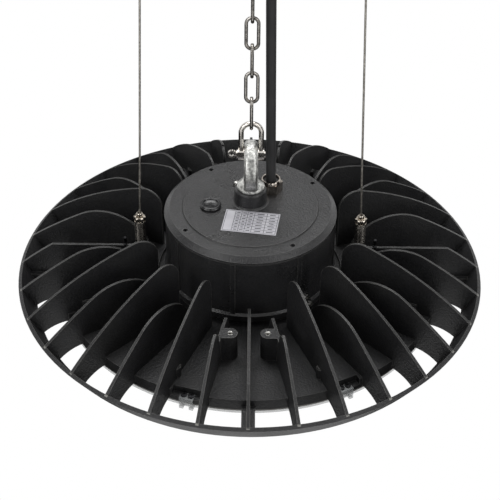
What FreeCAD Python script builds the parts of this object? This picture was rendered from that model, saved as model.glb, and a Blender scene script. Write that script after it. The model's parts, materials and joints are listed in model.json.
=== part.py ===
import FreeCAD, Part
import math
import os
import re
import Sketcher
from FreeCAD import Placement, Rotation, Vector

# High bay light on a chain: a die-cast heatsink with 32 radial blades, a driver can on its
# middle, an LED board and lens below, and what hangs it from the ceiling.
# Heights in the sheet are counted from the lower edge of the rim. The finished pieces are then
# moved so that the origin is the point where the ceiling hook's shank enters the ceiling.

SIZES = {
    # hanging
    "drop": 306,                   # ceiling to the lower edge of the rim
    "eye_offset": 6.5,             # eye bolt behind the middle of the light
    # heatsink
    "rim_radius": 200,
    "rim_height": 17.6,
    "rim_lean": 11.6,              # how much smaller the rim's lower edge is
    "rim_wall": 2.8,
    "rim_crest": 2,                # inner edge of the rim above its outer edge
    "base_radius": 164.4,
    "base_top": 15.6,
    "base_bottom": 5.5,
    "board_seat": 8.6,
    "board_pocket_radius": 158,
    "seat_radius": 70,
    "seat_height": 19,
    "moat_radius": 79.6,
    "moat_floor": 12,
    "blade_count": 32,
    "blade_root": 3.1,             # thickness at the foot
    "blade_draft": 0.6,            # degrees
    "blade_foot": 0,
    "blade_inner_radius": 83.4,
    "tall_shoulder": 56,
    "tall_corner": 15.6,
    "tall_crest_radius": 103.2,
    "tall_crest": 71,
    "tall_back_curve": 272,
    "short_inner_radius": 87.5,
    "short_arch": 42.5,
    "short_crest_radius": 150.6,
    "short_crest": 50.5,
    "short_back_curve": 400,
    "low_height": 39.4,
    "arch_curve": 35,              # underside of the blades outside the base
    "arch_start": 7.6,
    "spoke_width": 10.7,
    "spoke_top": 9.2,
    "stub_outer": 124,
    "stub_half_width": 28,
    "stub_round": 9,
    "lug_x": 14.9,
    "lug_y": 113.2,
    "lug_diameter": 11.6,
    "lug_web": 7.9,
    "lug_hole": 4.2,
    "lug_hole_depth": 14,
    "pip_radius": 148,
    "pip_diameter": 7,
    "pip_top": 25,
    "grip_radius": 94,
    "grip_boss": 13,
    "grip_thread": 6,
    "grip_thread_depth": 14,
    # driver can
    "can_radius": 72,
    "can_wall": 3.4,
    "can_floor": 3.4,
    "can_lip_radius": 74,
    "can_top": 75,
    "can_rib_count": 8,
    "can_rib_width": 4,
    "can_rib_height": 0.9,
    "can_rib_angle": -56,
    "can_boss": 11.4,
    "can_column": 12,
    "can_column_height": 14,
    "can_pad": 7.6,
    "can_pad_radius": 74.2,
    "can_skirt": 2.8,
    "wire_hole": 8,
    "gasket_height": 1.3,
    "gasket_width": 3,
    # cover
    "cover_edge_height": 1.5,
    "cover_radius": 72.8,
    "cover_top_radius": 68.4,
    "cover_chamfer_height": 4,
    "cover_plate": 4,
    "cover_step_radius": 57.4,
    "cover_step": 1,
    "cover_screw_circle": 63.6,
    "cover_screw_angle": 33,
    "cover_screw": 2.5,
    "cover_screw_head": 4,
    "cover_screw_head_height": 1.8,
    "cover_screw_recess": 2.6,
    "cover_screw_length": 12,
    "boss_foot_radius": 14.3,
    "boss_radius": 13.4,
    "boss_flat_radius": 12,
    "boss_height": 13.7,
    "boss_round": 3,
    "eye_thread": 10,
    "eye_thread_length": 16,
    # eye bolt
    "eye_outer": 21.5,
    "eye_hole": 14,
    "eye_width": 11.6,
    "eye_curve": 3.7,
    "eye_gap": 0.5,                # ring's lowest point above the seat
    "collar_radius": 12,
    "collar_edge": 1.7,
    "collar_top_radius": 7.2,
    "collar_height": 7,
    "collar_dome": 9,
    "lock_angle": 131,
    "lock_height": 6.8,
    "lock_pad": 9.6,
    "lock_pad_radius": 14.8,
    "lock_screw": 4,
    "lock_screw_length": 9,
    "lock_head": 7,
    "lock_head_length": 4.2,
    # shackle
    "bow_wire": 4.3,
    "bow_inside": 12.2,
    "bow_length": 27.4,            # pin to the inside of the bend
    "ear_diameter": 9.6,
    "ear_width": 4.8,
    "pin_diameter": 4.8,
    "pin_collar": 7,
    "pin_collar_length": 1.2,
    "pin_neck": 2.2,
    "pin_head": 7.4,
    "pin_head_width": 2.2,
    "pin_head_hole": 3.4,
    "play": 0.1,                   # between pieces that pull on each other
    # chain and hook
    "link_wire": 2.8,
    "link_pitch": 24.2,
    "link_width": 12.4,
    "hook_wire": 5,
    "hook_inside": 8,
    "hook_thread": 6,
    "hook_thread_length": 30,
    "rose_radius": 12.5,
    "rose_height": 16,
    "rose_wall": 1.6,
    "rose_y": 23,
    "rose_hole": 4.6,
    # cable
    "cable_diameter": 8.4,
    "cable_x": 17.2,
    "cable_y": 23,
    "cable_lean": 3.85,            # how much nearer the middle its top end is
    "gland_flats": 17.5,
    "gland_collar": 4.5,
    "gland_nut": 7.2,
    "gland_mouth": 14,
    "gland_thread": 15.2,
    "gland_bore": 10.4,
    "seal_below_mouth": 2.6,
    # plug
    "plug_x": -33.5,
    "plug_y": -2.2,
    "plug_diameter": 18,
    "plug_height": 3.2,
    "plug_rim": 1.3,
    "plug_dish": 1.1,
    "plug_thread": 12,
    "plug_thread_length": 8,
    "ring_seal": 1,
    # wire ropes
    "rope_diameter": 1.8,
    "rope_lean": 9.3,
    "gripper_diameter": 9.4,
    "gripper_top": 65.6,
    "sleeve_diameter": 10.2,
    "sleeve_height": 4.6,
    "nipple_diameter": 5.4,
    "gripper_bore": 3.2,
    "nipple_height": 3.4,
    "anchor_diameter": 14,
    "anchor_height": 26,
    "anchor_hole": 3,
    "anchor_hole_depth": 8,
    "anchor_thread": 6,
    "anchor_thread_length": 20,
    # rating plate
    "plate_length": 45.6,
    "plate_width": 29.4,
    "plate_thick": 0.25,
    "plate_x": 0.4,
    "plate_y": -24.2,
    "plate_turn": -8.2,
    # driver, board, lens
    "driver_length": 96,
    "driver_width": 56,
    "driver_height": 42,
    "driver_tab": 9,
    "driver_tab_width": 14,
    "driver_foot": 1.5,
    "driver_screw": 4,
    "board_radius": 156,
    "board_thick": 1.6,
    "led_rings": 5,
    "led_first_ring": 30,
    "led_ring_step": 25.5,
    "led_spacing": 17.5,
    "led_side": 5,
    "led_height": 0.8,
    "board_screw_circle": 92,
    "board_screw_count": 8,
    "board_screw": 3,
    "board_screw_head": 5.6,
    "board_screw_head_height": 1.6,
    "board_screw_length": 6,
    "lens_radius": 163.6,
    "lens_bottom": 1,
    "lens_thick": 2.4,
    "lens_dish": 0.8,
    "lens_band": 12,
    "lens_seal_width": 4.6,
    "can_screw_circle": 52,
    "can_screw": 5,
    "can_screw_head": 8.5,
    "can_screw_head_height": 4.6,
    # lens clips
    "clip_count": 8,
    "clip_angle": 27.9,            # from the front, to the right
    "clip_width": 11.5,
    "clip_steel": 1,
    "clip_radius": 166.6,
    "clip_top": 10.8,
    "clip_tab": 6,
    "clip_notch": 3.6,
    "clip_foot": 3.4,
    "clip_foot_reach": 4.4,
    "clip_pocket_width": 25,
    "clip_pocket_depth": 5.8,
    "clip_screw_circle": 162.2,
    "clip_screw_spread": 1.03,     # degrees to each side of the clip
    "clip_screw": 2.5,
    "clip_screw_head": 5,
    "clip_screw_head_height": 1,
    "clip_screw_length": 4.6,
    # earth screws
    "earth_angle": 40.5,
    "earth_turn": 1.5,             # the two screws are this much to either side
    "earth_low": 22.2,
    "earth_high": 31.6,
    "earth_screw": 3,
    "earth_screw_length": 4.4,
    "earth_head": 5,
    "earth_head_height": 2.6,
}

doc = FreeCAD.newDocument("HighBayLight")
sheet = doc.addObject("Spreadsheet::Sheet", "Sizes")
for row, (alias, size) in enumerate(SIZES.items(), start=1):
    sheet.set("A%d" % row, alias)
    sheet.set("B%d" % row, str(size))
    sheet.setAlias("B%d" % row, alias)
doc.recompute()

X, Y, Z = Vector(1, 0, 0), Vector(0, 1, 0), Vector(0, 0, 1)
LEVEL = Rotation()
ALONG_Y = Rotation(X, -90)         # turns +Z to +Y
ALONG_X = Rotation(Y, 90)          # turns +Z to +X
pieces = []


def sized(formula):
    return re.sub(r"[a-z_]+", lambda word: ("Sizes." if word.group() in SIZES else "") + word.group(),
                  str(formula))


def value(formula):
    return float(sheet.evalExpression(sized(formula)))


def tie(item, name, formula):
    item.setExpression(name, sized(formula))


def move(item, place):
    for axis, formula in zip("xyz", place):
        tie(item, "Placement.Base." + axis, formula)


def solid(kind, name, place=(0, 0, 0), turn=LEVEL, **sizes):
    item = doc.addObject("Part::" + kind, name)
    for size, formula in sizes.items():
        tie(item, size, formula)
    item.Placement = Placement(Vector(), turn)
    move(item, place)
    return item


def rod(name, diameter, length, place=(0, 0, 0), turn=LEVEL):
    return solid("Cylinder", name, place, turn, Radius="(%s) / 2" % diameter, Height=length)


def ring(name, radius, wire, place=(0, 0, 0), turn=LEVEL, sweep=360):
    return solid("Torus", name, place, turn, Radius1=radius, Radius2="(%s) / 2" % wire, Angle3=sweep)


def fuse(name, *items):
    item = doc.addObject("Part::MultiFuse", name)
    item.Shapes = list(items)
    return item


def cut(name, base, *tools):
    item = doc.addObject("Part::Cut", name)
    item.Base = base
    item.Tool = tools[0] if len(tools) == 1 else fuse(name + "Tools", *tools)
    return item


def group(name, *items):
    item = doc.addObject("Part::Compound", name)
    item.Links = list(items)
    return item


def piece(label, item, place=(0, 0, 0)):
    """Label a finished sub-part and move it from the rim's level to the ceiling's."""
    item.Label = label
    x, y, z = place
    move(item, (x, "(%s) - eye_offset" % y, "(%s) - drop" % z))
    pieces.append(item)
    return item


def round_places(count, radius, first="0"):
    """Places on a circle. Angles run from +X towards +Y."""
    for number in range(int(value(count))):
        angle = value("%s + 360 * %d / %s" % (first, number, count))
        yield angle, ("%s * cos(%f)" % (radius, angle), "%s * sin(%f)" % (radius, angle))


def body_plane(body, role):
    return next(part for part in body.Origin.OriginFeatures if part.Role == role)


def outline(body, name, corners, role="XZ_Plane", lift="0"):
    """A closed sketch. A corner is (across, up) for a line to it, or (across, up, curve, side)
    for an arc to it, where side is 1 if the arc turns left and -1 if it turns right."""
    sketch = body.newObject("Sketcher::SketchObject", name)
    sketch.AttachmentSupport = [(body_plane(body, role), "")]
    sketch.MapMode = "FlatFace"
    tie(sketch, "AttachmentOffset.Base.z", lift)
    points = [Vector(value(corner[0]), value(corner[1]), 0) for corner in corners]
    ends = []
    for number, corner in enumerate(corners):
        start, end = points[number - 1], points[number]
        if len(corner) == 2:
            sketch.addGeometry(Part.LineSegment(start, end), False)
            ends.append((number, 1, 2))
            continue
        curve, side = value(corner[2]), corner[3]
        half = (end - start) / 2
        across = Vector(-half.y, half.x, 0).normalize()
        centre = start + half + across * side * math.sqrt(curve ** 2 - half.Length ** 2)
        angles = [math.atan2(p.y - centre.y, p.x - centre.x) for p in (start, end)]
        if side < 0:
            angles.reverse()
        sketch.addGeometry(Part.ArcOfCircle(Part.Circle(centre, Z, curve), *angles), False)
        ends.append((number, 1, 2) if side > 0 else (number, 2, 1))
        sketch.addConstraint(Sketcher.Constraint("Radius", number, curve))
        sketch.setExpression("Constraints[%d]" % (sketch.ConstraintCount - 1), sized(corner[2]))
    for (geo, start, _), (before, _, end) in zip(ends, ends[-1:] + ends[:-1]):
        sketch.addConstraint(Sketcher.Constraint("Coincident", before, end, geo, start))
    for (geo, _, end), corner, point in zip(ends, corners, points):
        for kind, axis, formula, size in (("DistanceX", -2, corner[0], point.x),
                                          ("DistanceY", -1, corner[1], point.y)):
            if abs(size) < 1e-9:
                sketch.addConstraint(Sketcher.Constraint("PointOnObject", geo, end, axis))
                continue
            sketch.addConstraint(Sketcher.Constraint(kind, -1, 1, geo, end, size))
            sketch.setExpression("Constraints[%d]" % (sketch.ConstraintCount - 1), sized(formula))
    return sketch


def turned(name, corners, place=None, turn=LEVEL):
    """A body revolved about its own Z axis from a half section of (radius, height) corners."""
    body = doc.addObject("PartDesign::Body", name)
    sketch = outline(body, name + "Section", corners)
    revolution = body.newObject("PartDesign::Revolution", name + "Revolution")
    revolution.Profile = sketch
    revolution.ReferenceAxis = (sketch, ["V_Axis"])
    revolution.Angle = 360
    body.Tip = revolution
    body.Placement = Placement(Vector(), turn)
    if place:
        move(body, place)
    return body


def pressed(name, corners, length, role="XY_Plane", lift="0", both=False, taper="0"):
    """A body padded from a closed outline."""
    body = doc.addObject("PartDesign::Body", name)
    sketch = outline(body, name + "Outline", corners, role, lift)
    pad = body.newObject("PartDesign::Pad", name + "Pad")
    pad.Profile = sketch
    tie(pad, "Length", length)
    pad.Midplane = both
    tie(pad, "TaperAngle", taper)
    body.Tip = pad
    return body


def tube(name, outer, inner, length, place=(0, 0, 0)):
    return cut(name, rod(name + "Outside", outer, length, place),
               rod(name + "Inside", inner, "%s + 2" % length, (place[0], place[1], "%s - 1" % place[2])))


def hexagon(name, flats, height, place=(0, 0, 0), turn=LEVEL):
    return solid("Prism", name, place, turn, Circumradius="%s / 2 / cos(30)" % flats, Height=height)


# ---- heatsink ----

def blades(name, first, section):
    """Half of the blades, as drafted blocks cut to one turned outline. They meet at the middle
    as a star, which the outline then clears."""
    body = doc.addObject("PartDesign::Body", name)
    half = "blade_root / 2"
    sketch = outline(body, name + "Foot", [("-(%s)" % half, "0"), (half, "0"),
                                           (half, "rim_radius"), ("-(%s)" % half, "rim_radius")],
                     "XY_Plane", "blade_foot")
    pad = body.newObject("PartDesign::Pad", name + "Blade")
    pad.Profile = sketch
    tie(pad, "Length", "tall_crest + tall_corner")
    tie(pad, "TaperAngle", "-blade_draft")
    pattern = body.newObject("PartDesign::PolarPattern", name + "Star")
    pattern.Originals = [pad]
    pattern.Axis = (sketch, ["N_Axis"])
    pattern.Angle = 360
    tie(pattern, "Occurrences", "blade_count / 2")
    body.Tip = pattern
    body.Placement = Placement(Vector(), Rotation(Z, value(first)))
    common = doc.addObject("Part::MultiCommon", name + "Trimmed")
    common.Shapes = [body, turned(name + "Section", section)]
    return common


def blade_section(inner_edge):
    """Ends inside the rim's wall and the base, which are then cut away, so that the faces meet."""
    outer = [("rim_radius - rim_wall / 2", "rim_height + rim_crest / 2", inner_edge[1], -1),
             ("rim_radius - rim_lean - rim_wall / 2", "rim_crest / 2"),
             ("base_radius - 1", "arch_start", "arch_curve", 1),
             ("board_pocket_radius + 1", "board_seat + 2"),
             (inner_edge[2], "board_seat + 2")]
    return inner_edge[0] + outer


def clip_screw_places():
    return [place for side in (-1, 1) for _, place in round_places(
        "clip_count", "clip_screw_circle", "clip_angle - 90 + %d * clip_screw_spread" % side)]


def heatsink():
    """One casting, kept as three nodes that meet face to face: base, rim and blades."""
    core = turned("Core", [
        ("0", "board_seat"), ("board_pocket_radius", "board_seat"),
        ("board_pocket_radius", "base_bottom"), ("base_radius", "base_bottom"),
        ("base_radius", "base_top"), ("moat_radius", "base_top"), ("moat_radius", "moat_floor"),
        ("seat_radius", "moat_floor"), ("seat_radius", "seat_height"), ("0", "seat_height")])
    rim = turned("Rim", [
        ("rim_radius - rim_lean - rim_wall", "0"), ("rim_radius - rim_lean", "0"),
        ("rim_radius", "rim_height"), ("rim_radius - rim_wall", "rim_height + rim_crest")])
    tall = blades("TallBlades", "0", blade_section((
        [("blade_inner_radius", "board_seat + 2"), ("blade_inner_radius", "tall_shoulder"),
         ("tall_crest_radius", "tall_crest", "tall_corner", -1)],
        "tall_back_curve", "blade_inner_radius + 1")))
    low_trim = [solid("Box", "LowTrim%d" % number, ("-rim_radius", "-blade_root", "low_height"),
                      Length="2 * rim_radius", Width="2 * blade_root", Height="tall_crest")
                for number in range(2)]
    low_trim[1].Placement = Placement(Vector(), Rotation(Z, 90))
    move(low_trim[1], ("blade_root", "-rim_radius", "low_height"))
    short = blades("ShortBlades", "180 / (blade_count / 2)", blade_section((
        [("short_inner_radius", "board_seat + 2"), ("short_inner_radius", "base_top - 2"),
         ("short_crest_radius", "short_crest", "short_arch", -1)],
        "short_back_curve", "short_inner_radius + 1")))
    stub_trim = pressed("StubTrim", [
        ("moat_radius", "low_height"), ("stub_outer", "low_height"),
        ("stub_outer", "short_crest - stub_round"),
        ("stub_outer + stub_round", "short_crest + 3", "stub_round * 1.4", -1),
        ("stub_outer + stub_round", "tall_crest"), ("moat_radius", "tall_crest")],
        "2 * stub_half_width", "YZ_Plane", both=True)
    stub_trim_front = doc.addObject("Part::Mirroring", "StubTrimFront")
    stub_trim_front.Source = stub_trim
    stub_trim_front.Normal = Y
    bosses, holes = [], []
    for side in (-1, 1):
        for end in (-1, 1):
            x, y = "%d * lug_x" % side, "%d * lug_y" % end
            bosses.append(rod("Lug", "lug_diameter", "low_height - moat_floor", (x, y, "moat_floor")))
            bosses.append(solid("Box", "LugWeb", (
                x if side > 0 else "-lug_x - lug_web", "%s - lug_diameter / 2" % y, "moat_floor"),
                Length="lug_web", Width="lug_diameter", Height="low_height - moat_floor"))
            holes.append(rod("LugHole", "lug_hole", "lug_hole_depth + 1",
                             (x, y, "low_height - lug_hole_depth")))
        x = "%d * grip_radius" % side
        bosses.append(rod("GripBoss", "grip_boss", "low_height - moat_floor", (x, "0", "moat_floor")))
        holes.append(rod("GripHole", "grip_thread", "grip_thread_depth + 1",
                         (x, "0", "low_height - grip_thread_depth")))
    for _, (x, y) in round_places("8", "pip_radius", "22.5"):
        bosses.append(rod("Pip", "pip_diameter", "pip_top - moat_floor", (x, y, "moat_floor")))
    for angle, _ in round_places("4", "1"):
        spoke = pressed("Spoke", [
            ("base_radius - 3", "base_bottom + 0.5"),
            ("rim_radius - rim_lean - rim_wall / 2 + 0.5", "0.8"),
            ("rim_radius - rim_lean / 2 - rim_wall / 2", "spoke_top"), ("base_radius - 3", "spoke_top")],
            "spoke_width", "XZ_Plane", both=True)
        spoke.Placement = Placement(Vector(), Rotation(Z, angle))
        bosses.append(spoke)
    for angle, place in round_places("clip_count", "(base_radius - clip_pocket_depth)", "clip_angle - 90"):
        pocket = solid("Box", "ClipPocket", ("base_radius - clip_pocket_depth", "-clip_pocket_width / 2",
                                             "clip_top - clip_steel"),
                       Length="clip_pocket_depth + 1", Width="clip_pocket_width", Height="base_top")
        holes.append(group("ClipPocketTurned", pocket))
        holes[-1].Placement = Placement(Vector(), Rotation(Z, angle))
    for place in clip_screw_places():
        holes.append(rod("ClipThread", "clip_screw", "clip_screw_length + 1",
                         place + ("clip_top - clip_steel - clip_screw_length + 0.6",)))
    for _, place in round_places("4", "can_screw_circle", "45"):
        holes.append(rod("CanScrewHole", "can_screw", "seat_height", place + ("1",)))
        holes.append(rod("CanScrewSink", "can_screw_head + 0.6", "can_screw_head_height + 1.2",
                         place + ("board_seat - 1",)))
    for _, place in round_places("board_screw_count", "board_screw_circle", "11.25"):
        holes.append(rod("BoardThread", "board_screw", "board_screw_length", place + ("board_seat - 1",)))
    holes.append(rod("WireHole", "wire_hole", "seat_height", ("30", "0", "1")))
    lug_holes, holes = holes[:6], holes[6:]
    blade_set = cut("BladeSet", fuse("AllBlades", cut("LowBlades", tall, *low_trim), short),
                    stub_trim, stub_trim_front)
    piece("heatsink_base", cut("HeatsinkBase", core, *holes))
    piece("heatsink_rim", group("HeatsinkRim", rim))
    piece("heatsink_blades", cut("HeatsinkBlades", fuse("BladesWhole", blade_set, *bosses),
                                 core, rim, *lug_holes))


# ---- driver can, cover and what they hold ----

def screw(name, shank, length, head, head_height, place, turn=LEVEL, spin=None):
    """A socket screw along its own Z. The place is the underside of its head."""
    bolt = fuse(name + "Blank", rod(name + "Shank", shank, length, ("0", "0", "-(%s)" % length)),
                rod(name + "Head", head, head_height))
    whole = cut(name, bolt, hexagon(name + "Socket", "(%s) * 0.5" % head, "(%s)" % head_height,
                                    ("0", "0", "(%s) * 0.4" % head_height)))
    whole.Placement = Placement(Vector(), turn)
    move(whole, place)
    return whole


def screw_ring(label, name, count, circle, first, height, sizes, turn=LEVEL):
    screws = [screw(name, *sizes, place + (height,), turn)
              for _, place in round_places(count, circle, first)]
    return piece(label, group(name + "Set", *screws))


def driver_housing():
    floor, top = "seat_height + gasket_height", "can_top"
    shell = turned("Can", [
        ("0", floor), ("can_lip_radius - can_skirt", floor),
        ("can_lip_radius - can_skirt", "seat_height - 1.4"), ("can_lip_radius", "seat_height - 1.4"),
        ("can_lip_radius", "seat_height + can_floor"), ("can_radius", "seat_height + can_floor + 1.6"),
        ("can_radius", top), ("can_radius - can_wall", top),
        ("can_radius - can_wall", floor + " + can_floor"), ("0", floor + " + can_floor")])
    added, holes = [], []
    for angle, _ in round_places("can_rib_count", "1", "can_rib_angle"):
        rib = group("CanRib", solid("Box", "CanRibBar", (
            "can_radius - 1", "-can_rib_width / 2", "seat_height + can_floor"), Length="can_rib_height + 1",
            Width="can_rib_width", Height="can_top - seat_height - can_floor"))
        rib.Placement = Placement(Vector(), Rotation(Z, angle))
        added.append(rib)
    for _, place in round_places("4", "cover_screw_circle", "cover_screw_angle"):
        added.append(rod("CoverBoss", "can_boss", "can_top - seat_height - can_floor",
                         place + ("seat_height + can_floor",)))
        holes.append(rod("CoverThread", "cover_screw", "cover_screw_length + 2",
                         place + ("can_top - cover_screw_length",)))
    for _, place in round_places("4", "can_screw_circle", "45"):
        added.append(rod("CanColumn", "can_column", "can_column_height", place + (floor,)))
        holes.append(rod("CanThread", "can_screw", "can_column_height", place + (floor + " - 1",)))
    for side in (-1, 1):
        holes.append(rod("DriverThread", "driver_screw", "can_floor - 0.4",
                         ("%d * (driver_length / 2 + driver_tab / 2)" % side, "0", floor + " + 0.8")))
    holes.append(rod("CanWireHole", "wire_hole", "can_floor + 2", ("30", "0", floor + " - 1")))
    for angle, height in earth_places():
        turn = Rotation(Z, angle) * ALONG_X
        pad = rod("EarthPad", "can_pad", "can_pad_radius - can_radius + 1.6", turn=turn)
        move(pad, ("(can_radius - 1.6) * cos(%f)" % angle, "(can_radius - 1.6) * sin(%f)" % angle, height))
        hole = rod("EarthThread", "earth_screw", "earth_screw_length + 1", turn=turn)
        reach = "(can_pad_radius - earth_screw_length)"
        move(hole, ("%s * cos(%f)" % (reach, angle), "%s * sin(%f)" % (reach, angle), height))
        added.append(pad)
        holes.append(hole)
    piece("driver_housing", cut("Housing", fuse("CanWhole", shell, *added), *holes))
    seal = tube("HousingSeal", "2 * seat_radius - 1", "2 * seat_radius - 9", "gasket_height",
                ("0", "0", "seat_height"))
    piece("housing_seal", seal)
    screw_ring("housing_screws", "HousingScrew", "4", "can_screw_circle", "45",
               "board_seat + can_screw_head_height",
               ("can_screw", "16", "can_screw_head", "can_screw_head_height"), Rotation(X, 180))


def earth_places():
    angle = value("earth_angle - 90")
    return [(angle + value("earth_turn"), "earth_low"), (angle - value("earth_turn"), "earth_high")]


def earth_screws():
    screws = []
    for angle, height in earth_places():
        place = ("can_pad_radius * cos(%f)" % angle, "can_pad_radius * sin(%f)" % angle, height)
        screws.append(screw("EarthScrew", "earth_screw", "earth_screw_length", "earth_head",
                            "earth_head_height", place, Rotation(Z, angle) * ALONG_X))
    piece("earth_screws", group("EarthScrewPair", *screws))


def driver():
    floor = "seat_height + gasket_height + can_floor"
    case = solid("Box", "DriverCase", ("-driver_length / 2", "-driver_width / 2", floor),
                 Length="driver_length", Width="driver_width", Height="driver_height")
    tabs = solid("Box", "DriverTabs", ("-driver_length / 2 - driver_tab", "-driver_tab_width / 2", floor),
                 Length="driver_length + 2 * driver_tab", Width="driver_tab_width", Height="driver_foot")
    sides = [("%d * (driver_length / 2 + driver_tab / 2)" % side, "0") for side in (-1, 1)]
    holes = [rod("DriverTabHole", "driver_screw", "driver_foot + 2", side + (floor + " - 1",))
             for side in sides]
    piece("driver_unit", cut("Driver", fuse("DriverWhole", case, tabs), *holes))
    screws = [screw("DriverScrew", "driver_screw", "driver_foot + 2", "7", "2.4",
                    side + (floor + " + driver_foot",)) for side in sides]
    piece("driver_screws", group("DriverScrewPair", *screws))


COVER_BOTTOM = "can_top + gasket_height"
COVER_SHELF = "can_top + gasket_height + cover_edge_height"
COVER_TOP = COVER_SHELF + " + cover_chamfer_height"
DISC_TOP = COVER_TOP + " + cover_step"
EYE_SEAT = DISC_TOP + " + boss_height"


def lock_place(radius):
    return ("(%s) * cos(lock_angle)" % radius, "eye_offset + (%s) * sin(lock_angle)" % radius,
            DISC_TOP + " + lock_height")


def radial_rod(name, diameter, length, radius):
    item = rod(name, diameter, length, turn=Rotation(Z, value("lock_angle")) * ALONG_X)
    move(item, lock_place(radius))
    return item


def lock_screw():
    piece("eye_bolt_lock_screw", screw("LockScrew", "lock_screw", "lock_screw_length", "lock_head",
                                       "lock_head_length", ("0", "0", "0"),
                                       Rotation(Z, value("lock_angle")) * ALONG_X),
          lock_place("lock_pad_radius"))


def cover():
    seal = tube("CoverSeal", "2 * can_radius - 0.4", "2 * (can_radius - gasket_width)", "gasket_height",
                ("0", "0", "can_top"))
    piece("cover_gasket", seal)
    lid = turned("Lid", [
        ("0", COVER_TOP + " - cover_plate"), ("can_radius - can_wall - 3", COVER_TOP + " - cover_plate"),
        ("can_radius - can_wall - 3", COVER_BOTTOM), ("cover_radius", COVER_BOTTOM),
        ("cover_radius", COVER_SHELF), ("cover_top_radius", COVER_TOP),
        ("cover_step_radius", COVER_TOP), ("cover_step_radius - cover_step / 2", DISC_TOP), ("0", DISC_TOP)])
    boss = turned("EyeBoss", [
        ("0", DISC_TOP + " - 1"), ("boss_foot_radius", DISC_TOP + " - 1"), ("boss_foot_radius", DISC_TOP),
        ("boss_radius", DISC_TOP + " + boss_height - boss_round"),
        ("boss_flat_radius", EYE_SEAT, "boss_round", 1), ("0", EYE_SEAT)], ("0", "eye_offset", "0"))
    lock_pad = radial_rod("LockPad", "lock_pad", "lock_pad_radius - 4", "4")
    holes = [radial_rod("LockThread", "lock_screw", "lock_pad_radius", "2"),
             rod("EyeThread", "eye_thread", "eye_thread_length + 1",
                 ("0", "eye_offset", EYE_SEAT + " - eye_thread_length")),
             rod("GlandHole", "gland_thread", "20", ("cable_x", "cable_y", "can_top")),
             rod("PlugHole", "plug_thread", "20", ("plug_x", "plug_y", "can_top"))]
    for _, place in round_places("4", "cover_screw_circle", "cover_screw_angle"):
        holes.append(rod("CoverHole", "cover_screw + 0.4", "20", place + ("can_top",)))
        holes.append(rod("CoverRecess", "cover_screw_head + 0.4", "cover_screw_recess + 1",
                         place + (COVER_TOP + " - cover_screw_recess",)))
    piece("housing_cover", cut("Cover", fuse("LidWhole", lid, boss, lock_pad), *holes))
    screw_ring("cover_screws", "CoverScrew", "4", "cover_screw_circle", "cover_screw_angle",
               COVER_TOP + " - cover_screw_recess",
               ("cover_screw", "cover_screw_length", "cover_screw_head", "cover_screw_head_height"))


def cable_gland():
    seat = DISC_TOP
    place = ("cable_x", "cable_y", seat)
    body = fuse("GlandBodyBlank", hexagon("GlandHex", "gland_flats", "gland_collar", place),
                rod("GlandThread", "gland_thread", "12", place[:2] + (seat + " - 12",)))
    piece("gland_body", cut("GlandBody", body, rod("GlandBore", "gland_bore", "30",
                                                   place[:2] + (seat + " - 13",))))
    top = seat + " + gland_collar"
    dome = turned("GlandDome", [
        ("0", top), ("gland_flats / 2", top), ("gland_flats / 2", top + " + gland_nut * 0.55"),
        ("gland_mouth / 2 + 0.9", top + " + gland_nut", "gland_nut * 0.8", 1), ("0", top + " + gland_nut")],
        place[:2] + ("0",))
    nut = doc.addObject("Part::MultiCommon", "GlandNutForm")
    nut.Shapes = [fuse("GlandNutBlank", dome, hexagon("GlandNutHex", "gland_flats", "gland_nut * 0.6",
                                                      place[:2] + (top,))),
                  hexagon("GlandNutTrim", "gland_flats", "gland_nut", place[:2] + (top,))]
    piece("gland_nut", cut("GlandNut", nut, rod("GlandNutBore", "gland_mouth", "gland_nut + 2",
                                                place[:2] + (top + " - 1",))))
    piece("gland_seal", tube("GlandSeal", "gland_mouth", "cable_diameter", "gland_nut - seal_below_mouth",
                             place[:2] + (top,)))


def blanking_plug():
    seat = DISC_TOP + " + ring_seal"
    rise = "plug_height - ring_seal"
    plug = turned("Plug", [
        ("0", seat + " - plug_thread_length"), ("plug_thread / 2", seat + " - plug_thread_length"),
        ("plug_thread / 2", seat), ("plug_diameter / 2", seat),
        ("plug_diameter / 2", seat + " + " + rise + " - 0.7"),
        ("plug_diameter / 2 - 0.7", seat + " + " + rise),
        ("plug_diameter / 2 - plug_rim", seat + " + " + rise),
        ("plug_diameter / 2 - plug_rim - 0.9", seat + " + " + rise + " - plug_dish"),
        ("0", seat + " + " + rise + " - plug_dish")])
    piece("blanking_plug", plug, ("plug_x", "plug_y", "0"))
    piece("plug_seal", tube("PlugSeal", "plug_diameter - 1.6", "plug_thread", "ring_seal",
                            ("plug_x", "plug_y", DISC_TOP)))
    plate = solid("Box", "RatingPlate", ("0", "0", "0"), Length="plate_length", Width="plate_width",
                  Height="plate_thick")
    plate.Placement = Placement(Vector(), Rotation(Z, value("plate_turn")))
    piece("rating_label", plate, (
        "plate_x - plate_length / 2 * cos(plate_turn) + plate_width / 2 * sin(plate_turn)",
        "plate_y - plate_length / 2 * sin(plate_turn) - plate_width / 2 * cos(plate_turn)", DISC_TOP))


# ---- eye bolt, shackle, chain ----

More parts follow.
